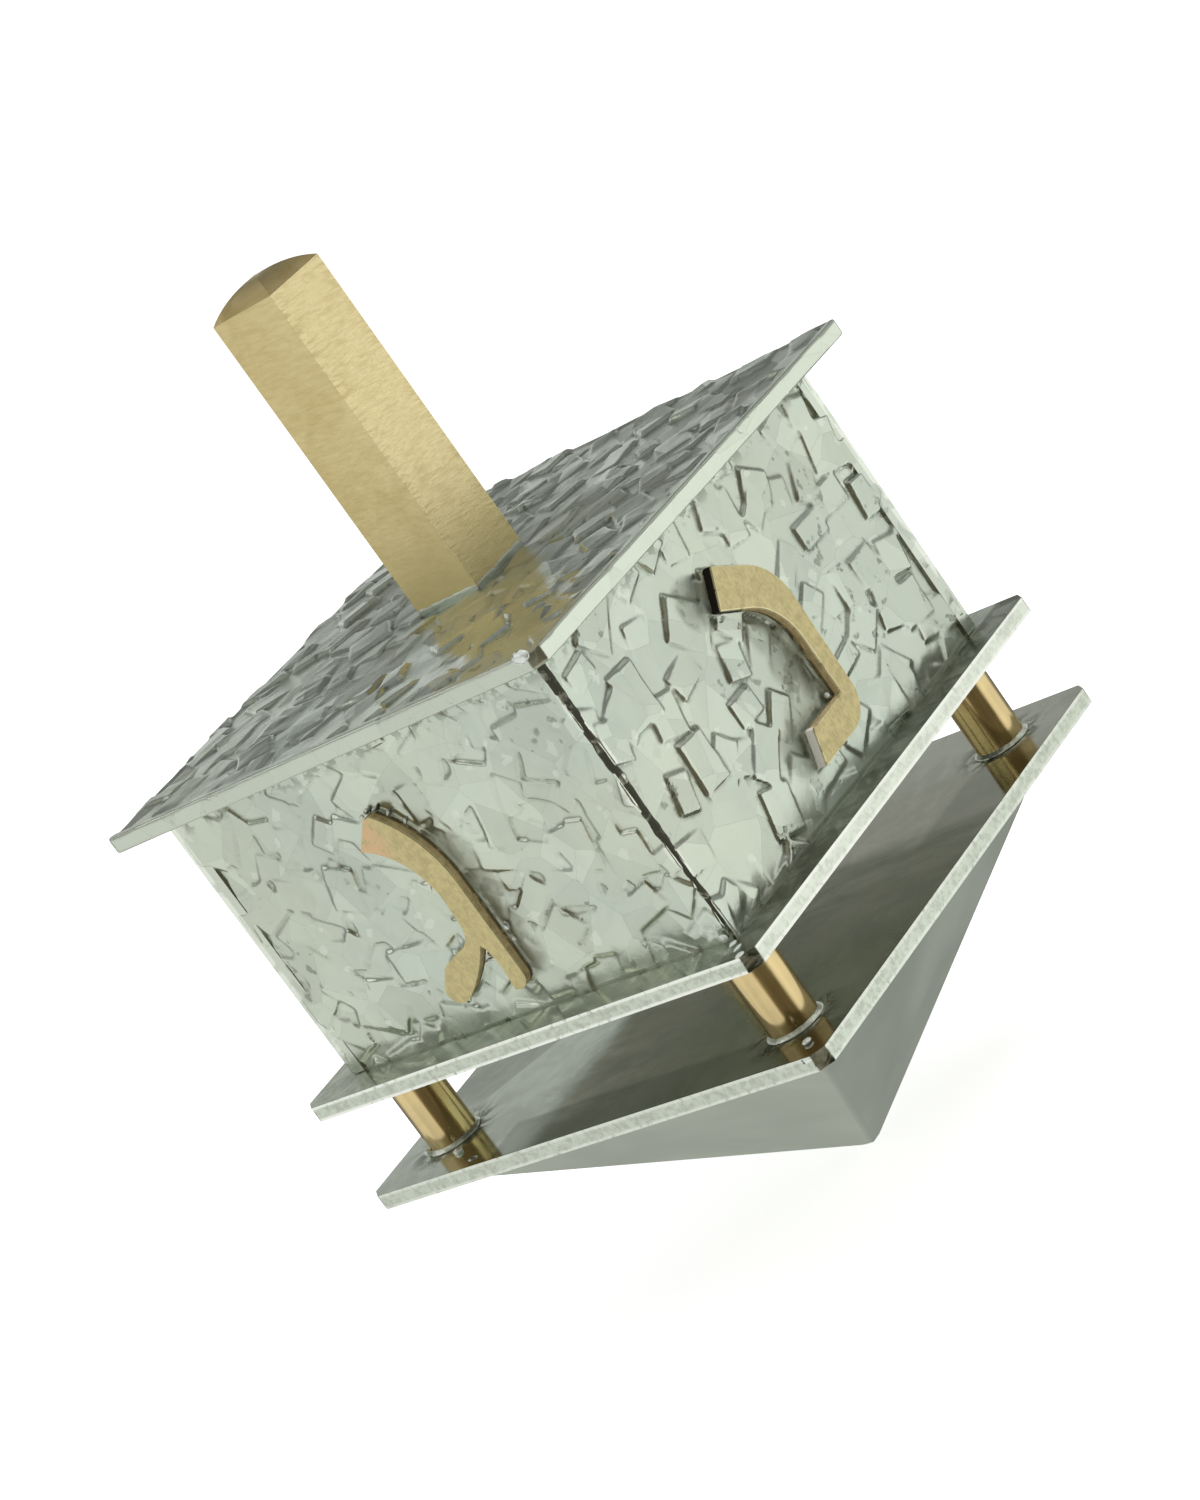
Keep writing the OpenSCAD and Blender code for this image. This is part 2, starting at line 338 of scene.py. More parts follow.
def buildPlate(bench):
    place = bench.place()
    clouds = bench.noise(place, *plateLook["clouds"])
    wipes = bench.noise(bench.scaled(place, 1, 0.25, 1), *plateLook["wipes"])
    normal = bench.add("NewGeometry", {}, {}, output=3)
    facing = bench.parts(normal)[2].size()
    edge = facing.ramp(0.85, 0.25)                 # the narrow edge faces, as against top and underside
    filed = bench.noise(bench.scaled(place, 1, 1, 0.25), *plateLook["filed"])
    grains = bench.noise(place, *plateLook["grains"])
    x, y, z = bench.parts(place)
    tone = clouds * 0.7 + wipes * 0.3
    colour = bench.blend(tone.ramp(0.3, 0.7), rgba(plateLook["colour"], 0.90), rgba(plateLook["colour"], 1.06))
    # the ledge round the box is stained in streaks, and painted darker as a dark reflection, most on the side of nun
    streaks = bench.noise(place, *plateLook["streaks"])
    ledge = x.size().maths("MAXIMUM", y.size()).ramp(19.6 * mm, 20.2 * mm) * (1 - edge)
    ledge = ledge * z.above((sizes["floorFoot"] + sizes["floorHead"]) / 2)
    nunSide = (y * -1).ramp(19.8 * mm, 20.4 * mm)
    stain = (ledge * (streaks.ramp(0.62, 0.40) * 0.3 + nunSide * (0.45 + wipes.ramp(0.6, 0.4) * 0.35))).held()
    colour = bench.blend(stain, colour, rgba(plateLook["stain"]))
    lower = z.above((sizes["deckHead"] + sizes["floorFoot"]) / 2)
    deckTop = (1 - edge) * (1 - lower)
    # between the two plates the deck carries a painted reflection: brighter on the far left and at the far right,
    # darker over its right half; mottled stains lie over all of it
    light = deckTop * y.ramp(4.5 * mm, 6.5 * mm)
    colour = bench.blend(deckTop * (1 - light), colour, rgba(plateLook["deck"]))
    colour = bench.blend(light * 0.75, colour, rgba(plateLook["deckPaintedLight"]))
    colour = bench.blend(deckTop * x.ramp(4 * mm, 10 * mm) * 0.2, colour, rgba(plateLook["stain"], 1.6))
    colour = bench.blend(deckTop * x.ramp(13 * mm, 17 * mm) * 0.5, colour, rgba(plateLook["deckRightPaintedLight"]))
    clouded = deckTop * (clouds * 0.6 + streaks * 0.4).ramp(0.58, 0.40)
    colour = bench.blend(clouded * 0.3, colour, rgba(plateLook["stain"], 1.6))
    # painted dark reflections in bands along the deck's two near edges and in a wedge across it, and burnt flux round
    # the posts
    leftBand = x.ramp(-18.2 * mm, -18.8 * mm) * y.ramp(10.3 * mm, 9.6 * mm)
    rightBand = y.ramp(-16 * mm, -17 * mm) * x.ramp(14.6 * mm, 13.4 * mm) * x.ramp(3 * mm, 5 * mm)
    band = leftBand.maths("MAXIMUM", rightBand)
    wedge = (y + x * 0.68).ramp(8.3 * mm, 8.9 * mm) * x.ramp(-14 * mm, -12 * mm)
    away = bench.add("CombineXYZ", {}, {0: x.size() - plateLook["post"], 1: y.size() - plateLook["post"], 2: 0.0})
    away = bench.add("VectorMath", {"operation": "LENGTH"}, {0: away}, output=1)
    flux = away.ramp(4.4 * mm, 2.6 * mm) * streaks.ramp(0.56, 0.44) * 0.75
    darkReflectionAndFlux = (band.maths("MAXIMUM", wedge) * 0.42 + flux).held() * deckTop
    colour = bench.blend(darkReflectionAndFlux, colour, rgba(plateLook["stain"]))
    rim = bench.blend(grains.ramp(0.32, 0.62), rgba(plateLook["edge"], 0.84), rgba(plateLook["edge"], 1.10))
    # painted shade: the deck's edge faces and the plates' left edge faces darker
    leftEdgeShade = x.ramp(-sizes["roofHalf"] + 0.1 * mm, -sizes["roofHalf"] + 0.04 * mm) * plateLook["leftEdgeShade"] * 0.4
    rim = bench.blend((1 - lower) * 0.12 + leftEdgeShade * (1 + lower * 1.4), rim, black)
    # painted highlight: pale broken lines along the plates' arrises
    levels = [(z - sizes[key]).size() for key in ("deckFoot", "deckHead", "floorFoot", "floorHead")]
    arris = levels[0].maths("MINIMUM", levels[1]).maths("MINIMUM", levels[2]).maths("MINIMUM", levels[3])
    arris = arris.ramp(0.34 * mm, 0.14 * mm) * grains.ramp(0.28, 0.46)
    rim = bench.blend(arris * (0.5 + lower * 0.5), rim, rgba(plateLook["arris"]))
    # painted light on the upper plate's edge face on the side of nun
    rim = bench.blend((y * -1).ramp(22.8 * mm, 22.9 * mm) * lower * 0.25, rim, rgba(plateLook["nunRimPaintedLight"]))
    # painted dark reflection in mottles on the clipped corners
    clip = (x.size() + y.size()).ramp(2 * sizes["roofHalf"] - 1.0 * mm, 2 * sizes["roofHalf"] - 0.94 * mm)
    rim = bench.blend(clip * streaks.ramp(0.6, 0.45), rim, rgba(plateLook["stain"], 0.5))
    colour = bench.blend(edge, colour, rim)
    roughness = (wipes.ramp(0.35, 0.75) * plateLook["smudge"] + plateLook["roughness"] + stain * 0.25 + flux * 0.3
                 + edge * (plateLook["edgeRoughness"] - plateLook["roughness"]))
    height = filed * edge * 0.6 + wipes * 0.12 + streaks * (ledge + clip) * 1.5
    return {"Base Color": colour, "Roughness": roughness.held(0.05, 1),
            "Normal": bench.bump(height, *plateLook["bump"])}


plateMetal = newMaterial("plateMetal", {"Metallic": 1.0}, buildPlate)

chipLook = {
    "warm": (0.715, 0.75, 0.655), "cool": (0.69, 0.75, 0.67), "bright": (0.93, 0.95, 0.88),
    "grimeAndShadeTint": (0.12, 0.125, 0.095), "roughness": 0.18, "spread": 0.14, "roofDull": 0.13, "patches": 260, "slope": 0.10,
    "clouds": (140, 4, 0.6, 0.8), "grain": (2600, 4, 0.65), "pits": (1000, 2, 0.5), "hue": (95, 3, 0.5, 0.4),
    "specks": (800, 3, 0.6), "swells": (420, 3, 0.5), "bump": (0.4, 0.04 * mm),
    # where the flame was, in mm, and how far it reached
    "scorched": ((0.5, -20, 40.0), (0.5, -20, 37.2), (0.3, -20, 34.6), (-2.0, -20, 33.3), (-3.8, -20, 32.1),
                 (-4.0, -20, 45.2), (-20, -2.6, 40.4), (-20, -2.5, 37.4), (-20, -2.4, 34.4), (-20, -2.4, 32.0)),
    "reach": (2.4 * mm, 1.5 * mm),
}


def buildChips(bench):
    place = bench.place()
    patch, tone, kind = bench.facets(place, chipLook["patches"], chipLook["slope"])
    clouds = bench.noise(place, *chipLook["clouds"])
    grain = bench.noise(place, *chipLook["grain"])
    pits = bench.noise(place, *chipLook["pits"]).ramp(0.60, 0.70)
    rough = kind.ramp(0.70, 0.80)                  # some patches are grainier than others
    curve = bench.add("NewGeometry", {}, {}, output=7)
    hollow = curve.ramp(0.497, 0.465)
    ridge = curve.ramp(0.508, 0.55)
    hue = bench.noise(place, *chipLook["hue"])
    colour = bench.blend(hue.ramp(0.36, 0.64), rgba(chipLook["cool"]), rgba(chipLook["warm"]))
    x, y, level = bench.parts(place)
    onRoof = level.above(sizes["wallHead"])
    shade = clouds.ramp(0.68, 0.32) * 0.10 + tone * 0.16
    # painted shade: the roof darker towards +x
    shade = shade + onRoof * x.ramp(-14 * mm, 4 * mm) * 0.10
    colour = bench.blend(shade, colour, black)
    speck = bench.noise(place, *chipLook["specks"]).ramp(0.5, 0.58)
    # grime with painted shade: darker in the hollows between chips, in the crease at the wall's foot and in specks
    # under the roof's overhang
    foot = level.ramp(sizes["wallFoot"] + 0.24 * mm, sizes["wallFoot"] + 0.1 * mm)
    head = level.ramp(sizes["wallHead"] - 2.2 * mm, sizes["wallHead"] - 0.8 * mm) * (1 - onRoof)
    gimelSide = x.ramp(-19.3 * mm, -19.6 * mm) * (1 - onRoof)
    hollow = hollow * (1 - gimelSide * 0.45)
    grimeAndShade = hollow * (0.5 + clouds.ramp(0.6, 0.4) * 0.35) + pits * rough * 0.5
    grimeAndShade = (grimeAndShade + foot * 0.15 + head * speck * 0.5).held()
    # the walls' upright corners are lighter in patches
    corner = sizes["wallOut"] + sizes["wallHalf"]
    cornerBright = (x.size() + y.size()).ramp(corner - 0.62 * mm, corner - 0.3 * mm)
    cornerBright = cornerBright * (1 - onRoof) * clouds.ramp(0.42, 0.5)
    edge = x.size().maths("MAXIMUM", y.size()).ramp(sizes["roofHalf"] - 0.1 * mm, sizes["roofHalf"] - 0.04 * mm)
    # painted shade on the roof's left edge face
    leftEdgeShade = x.ramp(-sizes["roofHalf"] + 0.1 * mm, -sizes["roofHalf"] + 0.04 * mm) * plateLook["leftEdgeShade"]
    rim = bench.blend(clouds.ramp(0.3, 0.7), rgba(plateLook["edge"], 0.97), rgba(plateLook["edge"], 1.05))
    colour = bench.blend(edge, colour, bench.blend(leftEdgeShade, rim, black))
    colour = bench.blend(grimeAndShade * (1 - edge), colour, rgba(chipLook["grimeAndShadeTint"]))
    # painted highlight along the chips' convex ridges; the upright corners lighter in patches
    colour = bench.blend((ridge * 0.25 * (1 - edge)).maths("MAXIMUM", cornerBright * 0.85), colour, rgba(chipLook["bright"]))
    # the flame left the metal dull beside the letters
    scorch = None
    for spot in chipLook["scorched"]:
        away = bench.add("VectorMath", {"operation": "DISTANCE"}, {0: place, 1: [c * mm for c in spot]}, output=1)
        disc = away.ramp(*chipLook["reach"])
        scorch = scorch.maths("MAXIMUM", disc) if scorch else disc
    scorch = scorch * (0.55 + speck * 0.45)
    colour = bench.blend(scorch * (1 - gimelSide * 0.8) * 0.2, colour, rgba(chipLook["grimeAndShadeTint"], 2.2))
    roughness = (chipLook["roughness"] + clouds.ramp(0.35, 0.7) * chipLook["spread"] + rough * 0.08
                 + hollow * 0.2 + foot * 0.4 + scorch * 0.45)
    # the roof is duller round the bar
    away = bench.add("CombineXYZ", {}, {0: x, 1: y, 2: 0.0})
    away = bench.add("VectorMath", {"operation": "LENGTH"}, {0: away}, output=1)
    roughness = roughness + away.ramp(13 * mm, 7 * mm) * onRoof * chipLook["roofDull"]
    height = grain * (0.35 + rough * 1.4) + bench.noise(place, *chipLook["swells"]) * 2.2 - pits * rough * 2.0
    return {"Base Color": colour, "Roughness": roughness.held(0.05, 1),
            "Normal": bench.bump(height, *chipLook["bump"], Normal=patch)}


chipMetal = newMaterial("chipMetal", {"Metallic": 1.0}, buildChips)

pointLook = {"colour": (0.64, 0.68, 0.60), "roughness": 0.33, "clouds": (70, 3, 0.5, 0.4),
             "brushed": (900, 4, 0.6), "bump": (0.22, 0.08 * mm)}


def buildPoint(bench):
    place = bench.place()
    clouds = bench.noise(place, *pointLook["clouds"])
    brushed = bench.noise(bench.scaled(place, 0.3, 0.3, 1), *pointLook["brushed"])
    colour = bench.blend(clouds.ramp(0.3, 0.7), rgba(pointLook["colour"], 0.93), rgba(pointLook["colour"], 1.05))
    roughness = pointLook["roughness"] + clouds.ramp(0.3, 0.7) * 0.1
    return {"Base Color": colour, "Roughness": roughness,
            "Normal": bench.bump(brushed + clouds * 2, *pointLook["bump"])}


pointMetal = newMaterial("pointMetal", {"Metallic": 1.0}, buildPoint)

barLook = {"light": (0.875, 0.73, 0.42), "dark": (0.66, 0.52, 0.26), "roughness": 0.34, "foot": 9 * mm,
           "domeDark": (0.70, 0.53, 0.23), "domeLight": (0.90, 0.71, 0.37), "domeHigh": 1.28 * mm,
           "footPaintedLight": (0.90, 0.73, 0.38), "fine": (7000, 3, 0.6, 0.4), "coarse": (3000, 4, 0.6, 0.6),
           "mottled": (240, 4, 0.6, 1.0), "bump": (0.5, 0.03 * mm)}


def buildBar(bench):
    place = bench.place()
    x, y, z = bench.parts(place)
    across = x - y                                 # the brush went round the bar, not along it
    level = z + across * 0.12
    strokes = bench.add("CombineXYZ", {}, {0: across * 0.2, 1: level, 2: 0.0})
    fine = bench.noise(strokes, *barLook["fine"])
    coarse = bench.noise(strokes, *barLook["coarse"])
    mottled = bench.noise(place, *barLook["mottled"])
    arris = x.size().maths("MINIMUM", y.size()).ramp(1.9 * mm, 3.1 * mm)
    foot = z.ramp(sizes["roofHead"] + barLook["foot"], sizes["roofHead"])
    dome = z.above(sizes["tall"] - barLook["domeHigh"])
    side = across.ramp(-4 * mm, 4 * mm)            # painted light: the sides towards +x and -y lighter, the other two darker
    nunFace = (y * -1).ramp(3.08 * mm, 3.16 * mm)
    # painted light in the tone: the nun face lighter and the bar lighter towards its foot; brighter strokes by the near
    # arris of the nun face are painted highlight
    tone = ((coarse.ramp(0.35, 0.65) - 0.5) * (0.3 + nunFace * 0.35)
            + (fine.ramp(0.35, 0.65) - 0.5) * (0.1 + nunFace * 0.2) + 0.12
            + nunFace * 0.30 + mottled.ramp(0.35, 0.65) * 0.3
            + side * 0.35 - 0.05 + foot * 0.1 + arris * nunFace * (coarse.ramp(0.46, 0.58) - 0.3) * 0.5)
    # painted highlight: bright strokes starting at the near arris of the nun face
    arrisGlints = nunFace * x.size().ramp(2.3 * mm, 3.0 * mm) * (x * -1).above(0.0)
    tone = tone + arrisGlints * (coarse * 0.6 + fine * 0.4).ramp(0.42, 0.58, -0.12, 0.9)
    tone = tone.maths("MINIMUM", 1.3).maths("MAXIMUM", -0.6)
    colour = bench.blend(tone, rgba(barLook["dark"]), rgba(barLook["light"]))
    # painted light: lighter towards the foot
    colour = bench.blend(foot * 0.5, colour, rgba(barLook["footPaintedLight"]))
    colour = bench.blend(dome, colour, bench.blend(mottled.ramp(0.35, 0.65), rgba(barLook["domeDark"]),
                                                   rgba(barLook["domeLight"])))
    roughness = barLook["roughness"] + fine.ramp(0.4, 0.7) * 0.12 - dome * 0.06
    height = (fine * 0.5 + coarse * (1 + arris * nunFace)) * (0.5 + nunFace * 0.5) * (1 - dome * 0.8)
    return {"Base Color": colour, "Roughness": roughness,
            "Normal": bench.bump(height, *barLook["bump"])}


barBrass = newMaterial("barBrass", {"Metallic": 1.0}, buildBar)

letterLook = {"face": (0.64, 0.54, 0.29), "side": (0.66, 0.52, 0.26), "roughness": 0.36,
              "hot": (0.80, 0.54, 0.33), "burnt": (0.016, 0.010, 0.007), "line": (0.10, 0.085, 0.045),
              "pale": (1.0, 0.97, 0.86), "glint": (0.96, 0.86, 0.56), "scratches": 0.06,
              "brushed": (4500, 4, 0.7, 0.3), "mottled": (1500, 4, 0.6, 0.6), "bump": (0.5, 0.06 * mm)}


def buildLetter(bench):
    place = bench.place()
    x, y, z = bench.parts(place)
    reach = x.size().maths("MAXIMUM", y.size())
    face = reach.ramp(sizes["letterOut"] - 0.14 * mm, sizes["letterOut"] - 0.06 * mm)
    brushed = bench.noise(bench.scaled(place, 1, 1, 0.4), *letterLook["brushed"])
    mottled = bench.noise(place, *letterLook["mottled"])
    # gimel's head turned reddish in the flame, and nun's cut end is burnt black
    onGimel = x.ramp(-19.9 * mm, -20.0 * mm)
    onNun = y.ramp(-19.9 * mm, -20.0 * mm)
    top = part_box("nun_letter")[1].z
    hot = onGimel * z.ramp(top - 4.8 * mm, top - 3.6 * mm) * y.ramp(0.4 * mm, 1.9 * mm) * mottled.ramp(0.34, 0.5)
    burnt = onNun * z.ramp(top - 6.5 * mm, top - 5.5 * mm) * x.ramp(-1.0 * mm, -1.6 * mm)
    # a dark line where the sides meet the wall, the dark joint together with painted shade in the crease, and a pale
    # tinned face at the end of nun's foot
    line = reach.ramp(sizes["wallOut"] + 0.34 * mm, sizes["wallOut"] + 0.22 * mm) * mottled.ramp(0.36, 0.5)
    pale = onNun * z.ramp(33.6 * mm, 33.3 * mm) * x.ramp(-2.2 * mm, -2.4 * mm)
    sides = bench.blend(mottled.ramp(0.3, 0.7), rgba(letterLook["side"], 0.75), rgba(letterLook["side"], 1.15))
    sides = bench.blend(line * 0.85, sides, rgba(letterLook["line"]))
    sides = bench.blend(pale, sides, rgba(letterLook["pale"]))
    sides = bench.blend(burnt, sides, rgba(letterLook["burnt"]))
    faces = bench.blend((brushed * 0.5 + mottled * 0.5).ramp(0.36, 0.64),
                        rgba(letterLook["face"], 0.86), rgba(letterLook["face"], 1.13))
    faces = bench.blend(brushed.ramp(0.5, 0.4) * onNun * letterLook["scratches"], faces, black)
    faces = bench.blend(hot * 0.85, faces, rgba(letterLook["hot"]))
    # painted highlight along the upper arris, in places
    arris = reach.ramp(sizes["letterOut"] - 0.17 * mm, sizes["letterOut"] - 0.13 * mm) * mottled.ramp(0.36, 0.44)
    arris = arris * reach.ramp(sizes["letterOut"] - 0.004 * mm, sizes["letterOut"] - 0.012 * mm)
    roughness = letterLook["roughness"] + brushed * 0.12 + (1 - face) * 0.2
    colour = bench.blend(arris * 0.8, bench.blend(face, sides, faces), rgba(letterLook["glint"]))
    return {"Base Color": colour, "Roughness": roughness,
            "Metallic": face * 0.75 + 0.25 - pale * (1 - face) * 0.25,
            "Normal": bench.bump(brushed + mottled * 1.2, *letterLook["bump"])}


letterBrass = newMaterial("letterBrass", {}, buildLetter)

postLook = {"colour": (0.78, 0.60, 0.32), "roughness": 0.14, "drawn": (2400, 3, 0.6), "stain": (220, 3, 0.5, 0.5),
            "bump": (0.12, 0.04 * mm)}


def buildPost(bench):
    place = bench.place()
    drawn = bench.noise(bench.scaled(place, 1, 1, 0.15), *postLook["drawn"])
    stain = bench.noise(place, *postLook["stain"])
    colour = bench.blend(stain.ramp(0.35, 0.7), rgba(postLook["colour"], 0.86), rgba(postLook["colour"], 1.05))
    roughness = postLook["roughness"] + stain.ramp(0.4, 0.75) * 0.08
    return {"Base Color": colour, "Roughness": roughness,
            "Normal": bench.bump(drawn, *postLook["bump"])}


postBrass = newMaterial("postBrass", {"Metallic": 1.0}, buildPost)

solderLook = {"colour": (0.95, 0.98, 0.90), "dark": (0.50, 0.48, 0.38), "roughness": 0.34, "metal": 0.72,
              "lumps": (1500, 3, 0.6, 0.5), "burnt": (420, 3, 0.6, 0.5), "bump": (0.4, 0.1 * mm)}


def buildSolder(bench):
    place = bench.place()
    lumps = bench.noise(place, *solderLook["lumps"])
    burnt = bench.noise(place, *solderLook["burnt"]).ramp(0.46, 0.38)
    colour = bench.blend(lumps.ramp(0.35, 0.65), rgba(solderLook["colour"], 0.8), rgba(solderLook["colour"], 1.1))
    colour = bench.blend(burnt * 0.4, colour, rgba(solderLook["dark"]))
    return {"Base Color": colour, "Roughness": solderLook["roughness"] + burnt * 0.2,
            "Normal": bench.bump(lumps, *solderLook["bump"])}


solderMetal = newMaterial("solderMetal", {"Metallic": solderLook["metal"]}, buildSolder)

brightLook = {"colour": (0.95, 1.0, 0.94), "dark": (0.16, 0.165, 0.14), "roughness": 0.28, "metal": 0.45,
              "lumps": (1300, 2, 0.5), "spots": (1100, 2, 0.5, 0.6), "bump": (0.3, 0.1 * mm)}


def buildBright(bench):
    place = bench.place()
    lumps = bench.noise(place, *brightLook["lumps"])
    # painted glints: white spots on dark, standing in for the drops' highlights
    spots = bench.noise(place, *brightLook["spots"]).ramp(0.36, 0.46)
    colour = bench.blend(spots, rgba(brightLook["dark"]), rgba(brightLook["colour"]))
    return {"Base Color": colour, "Roughness": brightLook["roughness"] + lumps * 0.06,
            "Normal": bench.bump(lumps, *brightLook["bump"])}


solderWithPaintedGlints = newMaterial("solderWithPaintedGlints", {"Metallic": brightLook["metal"]}, buildBright)

seamLook = {"dark": (0.075, 0.075, 0.052), "light": (0.42, 0.42, 0.33), "lumps": (700, 4, 0.65, 0.6),
            "bump": (0.6, 0.2 * mm)}


def buildSeam(bench):
    place = bench.place()
    lumps = bench.noise(place, *seamLook["lumps"])
    bright = lumps.ramp(0.54, 0.66)
    colour = bench.blend(bright, rgba(seamLook["dark"]), rgba(seamLook["light"]))
    return {"Base Color": colour, "Metallic": 0.3 + bright * 0.5, "Roughness": 0.75 - bright * 0.4,
            "Normal": bench.bump(lumps, *seamLook["bump"])}


seamMetal = newMaterial("seamMetal", {}, buildSeam)
print("materials made")


# ---- raised chips for the walls and the roof ----

chipPattern = {
    "size": (1.05, 0.87),                          # a chip before it is stretched, as shares of the spacing
    "high": 1.4 * mm,
    "narrow": (1.0, 0.6, 0.8, 0.9),                # width of a chip's far end as a share of its near end
    "waves": 0.14 * mm,
}
# spacing of the chips, layers of them, least and most tilt in degrees, how far a chip's highest corner and the
# plain plate under the chips may lie below the face, voxel, smoothing rounds and the share of faces kept
reliefs = {
    "nun": {"spacing": 3.7, "layers": 1, "tilt": (1.2, 5.0), "depth": 0.20, "drop": 0.38, "voxel": 0.12, "soften": 3,
            "share": 0.3},
    "gimel": {"spacing": 3.6, "layers": 2, "tilt": (0.9, 3.8), "depth": 0.15, "drop": 0.30, "voxel": 0.12, "soften": 3,
              "share": 0.3},
    "he": {"spacing": 3.8, "layers": 1, "tilt": (1.2, 5.0), "depth": 0.20, "drop": 0.36, "voxel": 0.16, "soften": 2,
           "share": 0.4},
    "shin": {"spacing": 3.8, "layers": 2, "tilt": (1.0, 4.0), "depth": 0.16, "drop": 0.32, "voxel": 0.16, "soften": 2,
             "share": 0.4},
    "roof": {"spacing": 3.8, "layers": 1, "tilt": (1.4, 5.4), "depth": 0.18, "drop": 0.40, "voxel": 0.13, "soften": 2,
             "share": 0.25},
}
waveTexture = cloudTexture("waves", 3.2 * mm)


def scatterChips(toFace, width, height, seed, relief):
    # lays tilted chips on a jittered grid over a face; toFace turns x, y, outward into the frame
    dice = random.Random(seed)
    step = relief["spacing"] * mm
    chips = []
    for narrow in chipPattern["narrow"]:
        chip = addBox("chip", (0, 0, 0), (chipPattern["size"][0] * step, chipPattern["size"][1] * step,
                                          chipPattern["high"]))
        squeeze(chip, lambda place: place.x > 0, (1, narrow, 1))
        chips.append(chip)
    laid = []
    for layer in range(relief["layers"]):
        for i, j in itertools.product(range(int(width / step) + 2), range(int(height / step) + 2)):
            x = -width / 2 + (i - 0.25 - layer / 2 + dice.uniform(-0.45, 0.45)) * step
            y = -height / 2 + (j - 0.25 - layer / 2 + dice.uniform(-0.45, 0.45)) * step
            stretch = (dice.uniform(0.65, 1.15), dice.uniform(0.75, 1.2), 1, 1)
            chip = dice.choice(chips)
            turn = dice.choice((0, 12, -15, 45, 30, -35, 62, 80)) + dice.uniform(-9, 9)
            lean = math.radians(dice.uniform(*relief["tilt"]))
            towards = dice.uniform(0, 2 * math.pi)
            tilt = Matrix.Rotation(lean, 4, Vector((math.cos(towards), math.sin(towards), 0)))
            shape = tilt @ Matrix.Rotation(math.radians(turn), 4, "Z") @ Matrix.Diagonal(stretch)
            top = max((shape @ vertex.co).z for vertex in chip.data.vertices)
            drop = dice.random() ** 1.4 * relief["depth"] * mm
            copy = bpy.data.objects.new("chip", chip.data.copy())
            copy.matrix_world = toFace @ Matrix.Translation((x, y, -top - drop)) @ shape
            bpy.context.scene.collection.objects.link(copy)
            laid.append(copy)
    for chip in chips:
        bpy.data.objects.remove(chip)
    return laid


def chippedPiece(name, node, toFace, width, height, others, seed, relief, cutters=(), tuck=0.0):
    # chips and plain plate melted together, then cut to the CAD node's outline, which tuck makes taller
    laid = scatterChips(toFace, width, height, seed, relief)
    piece = joinAll(others + laid, name)
    melt(piece, relief["voxel"] * mm)
    lump(piece, waveTexture, chipPattern["waves"], 1.0)
    outline = copyOfNode(node, name + "Outline")
    low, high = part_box(node)
    middle = (low.z + high.z) / 2
    stretch = Matrix.Diagonal((1, 1, 1 + 2 * tuck / (high.z - low.z), 1))
    outline.matrix_world = Matrix.Translation((0, 0, middle)) @ stretch @ Matrix.Translation((0, 0, -middle))
    placeApplied(outline)
    applyOne(piece, "trim", "BOOLEAN", operation="INTERSECT", solver="MANIFOLD", object=outline)
    bpy.data.objects.remove(outline)
    for cutter in cutters:
        applyOne(piece, "gouge", "BOOLEAN", operation="DIFFERENCE", solver="MANIFOLD", object=cutter)
    melt(piece, relief["voxel"] * mm)
    calm(piece, relief["soften"], relief["share"], 50)
    print(name, "has", sum(len(p.vertices) - 2 for p in piece.data.polygons), "triangles")
    return piece


# the corner between two walls is an open, ragged groove
groove = {"radius": 0.25 * mm, "foot": 0.6, "ragged": 0.13 * mm, "rings": 90, "open": (0, 2)}
raggedTexture = cloudTexture("ragged", 1.1 * mm)
wallHigh = sizes["wallHead"] - sizes["wallFoot"]
wallMiddle = (sizes["wallHead"] + sizes["wallFoot"]) / 2


def lumpyRod(name, angle, inset, radius, ragged, texture, length):
    # a rod up one corner of the box, thinner at its foot, its surface pushed in and out
    out = (sizes["wallOut"] - inset) * math.sqrt(2)
    deselectAll()
    bpy.ops.mesh.primitive_cone_add(vertices=14, radius1=radius * groove["foot"], radius2=radius, depth=length,
                                    location=(math.cos(angle) * out, math.sin(angle) * out, wallMiddle))
    rod = bpy.context.object
    rod.name = name
    placeApplied(rod)
    pick(rod)
    bpy.ops.object.mode_set(mode="EDIT")
    for cutNumber in range(1, groove["rings"]):
        bpy.ops.mesh.select_all(action="SELECT")
        level = wallMiddle - length / 2 + length * cutNumber / groove["rings"]
        bpy.ops.mesh.bisect(plane_co=(0, 0, level), plane_no=(0, 0, 1))
    bpy.ops.object.mode_set(mode="OBJECT")
    lump(rod, texture, ragged)
    return rod


cutters = [lumpyRod("gouge", math.radians(45 + 90 * n), 0.1 * mm, groove["radius"], groove["ragged"],
                    raggedTexture, wallHigh + 2 * mm) for n in groove["open"]]
# each wall's turn round the axis and the two corners beside it
walls = {"nun": (0, 2, 3), "gimel": (-90, 1, 2), "he": (180, 0, 1), "shin": (90, 3, 0)}
lettersOn = {"nun": ("nun_letter",), "gimel": ("gimel_letter",), "he": ("he_letter", "he_leg"),
             "shin": ("shin_letter",)}
letterTurn = {node: walls[letter][0] for letter, held in lettersOn.items() for node in held}
padShape = {"spread": 0.08 * mm, "rise": 0.1 * mm}


def letterPad(node, toFace):
    # raised ground that the letter is soldered to
    pad = copyOfNode(node, "pad")
    fatten(pad, padShape["spread"])
    depth = sizes["wallOut"] - sizes["letterOut"] - padShape["spread"] + padShape["rise"]
    pad.matrix_world = Matrix.Translation(toFace.to_3x3() @ Vector((0, 0, depth)))
    placeApplied(pad)
    return pad


